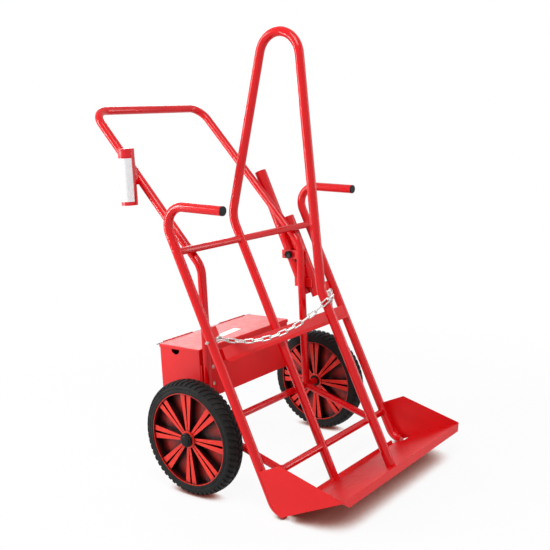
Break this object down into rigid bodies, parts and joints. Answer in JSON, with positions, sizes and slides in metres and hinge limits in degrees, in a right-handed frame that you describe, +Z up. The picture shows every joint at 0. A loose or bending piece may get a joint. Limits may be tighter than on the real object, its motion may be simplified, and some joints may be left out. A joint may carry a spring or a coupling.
{
  "type": "gas cylinder trolley",
  "caption": "Leaning tube-frame trolley for a pair of gas cylinders, with spoked wheels, a lifting loop, a push handle, a lidded tool box, rod holders and a retaining chain.",
  "frame": {"origin": "on the ground, in the middle of the bounding box's footprint", "axes": "+Z up; -Y towards the foot plate and the cylinders; +Y towards the push handle; +X to the right seen from the front, along the axle"},
  "size_m": [0.841, 1.1076, 1.5431],
  "materials": {
    "frame_red": "gloss",
    "black_plastic": "satin",
    "tyre_rubber": "matte",
    "rim_red": "satin",
    "bush_plastic": "satin",
    "axle_steel": "satin",
    "zinc_plate": "satin",
    "chain_steel": "gloss",
    "tube_red": "gloss",
    "label_white": "satin"
  },
  "bodies": {
    "frame": {"left_rail": "frame_red", "right_rail": "frame_red", "grip_plugs": "black_plastic", "lifting_loop": "frame_red", "push_handle": "frame_red", "top_cross_left": "frame_red", "top_cross_right": "frame_red", "low_cross_left": "frame_red", "low_cross_right": "frame_red", "left_strut": "frame_red", "right_strut": "frame_red", "axle_tube": "frame_red", "axle_bar": "axle_steel", "foot_plate": "frame_red", "left_cheek": "frame_red", "right_cheek": "frame_red", "mid_bar": "frame_red", "inner_washers": "zinc_plate", "outer_washers": "zinc_plate", "axle_caps": "black_plastic", "tool_box": "frame_red", "box_ends": "frame_red", "box_knuckles": "frame_red", "hinge_pin": "axle_steel", "left_box_bracket": "frame_red", "right_box_bracket": "frame_red", "box_bolts": "zinc_plate", "box_nuts": "zinc_plate", "long_rod_tube": "frame_red", "short_rod_tube": "frame_red", "rod_tube_bases": "frame_red", "rod_plate_upper": "frame_red", "rod_plate_lower": "frame_red", "clamp_knob": "black_plastic", "document_tube": "tube_red", "document_base": "tube_red", "document_pad": "frame_red", "left_chain_plate": "frame_red", "right_chain_plate": "frame_red", "left_eye_bolt": "zinc_plate", "right_eye_bolt": "zinc_plate", "eye_nuts": "zinc_plate", "left_chain": "chain_steel", "right_chain": "chain_steel", "chain_tail": "chain_steel", "document_label": "label_white"},
    "left_wheel": {"left_tyre": "tyre_rubber", "left_rim": "rim_red", "left_bush": "bush_plastic"},
    "right_wheel": {"right_tyre": "tyre_rubber", "right_rim": "rim_red", "right_bush": "bush_plastic"},
    "lid": {"box_lid": "frame_red", "lid_skirt": "frame_red", "lid_knuckles": "frame_red", "lid_label": "label_white"},
    "tube_cap": {"document_cap": "tube_red"}
  },
  "joints": [
    {"name": "left_wheel_spin", "type": "hinge", "parent": "frame", "child": "left_wheel", "pos_m": [-0.3745, 0.06141, 0.2], "axis": [1, 0, 0], "continuous": true},
    {"name": "right_wheel_spin", "type": "hinge", "parent": "frame", "child": "right_wheel", "pos_m": [0.3745, 0.06141, 0.2], "axis": [1, 0, 0], "continuous": true},
    {"name": "lid_hinge", "type": "hinge", "parent": "frame", "child": "lid", "pos_m": [0, 0.27541, 0.4815], "axis": [-1, 0, 0], "range_deg": [0, 100]},
    {"name": "cap_pull", "type": "slide", "parent": "frame", "child": "tube_cap", "axis": [0, 0, 1], "range_m": [0, 0.06]}
  ]
}
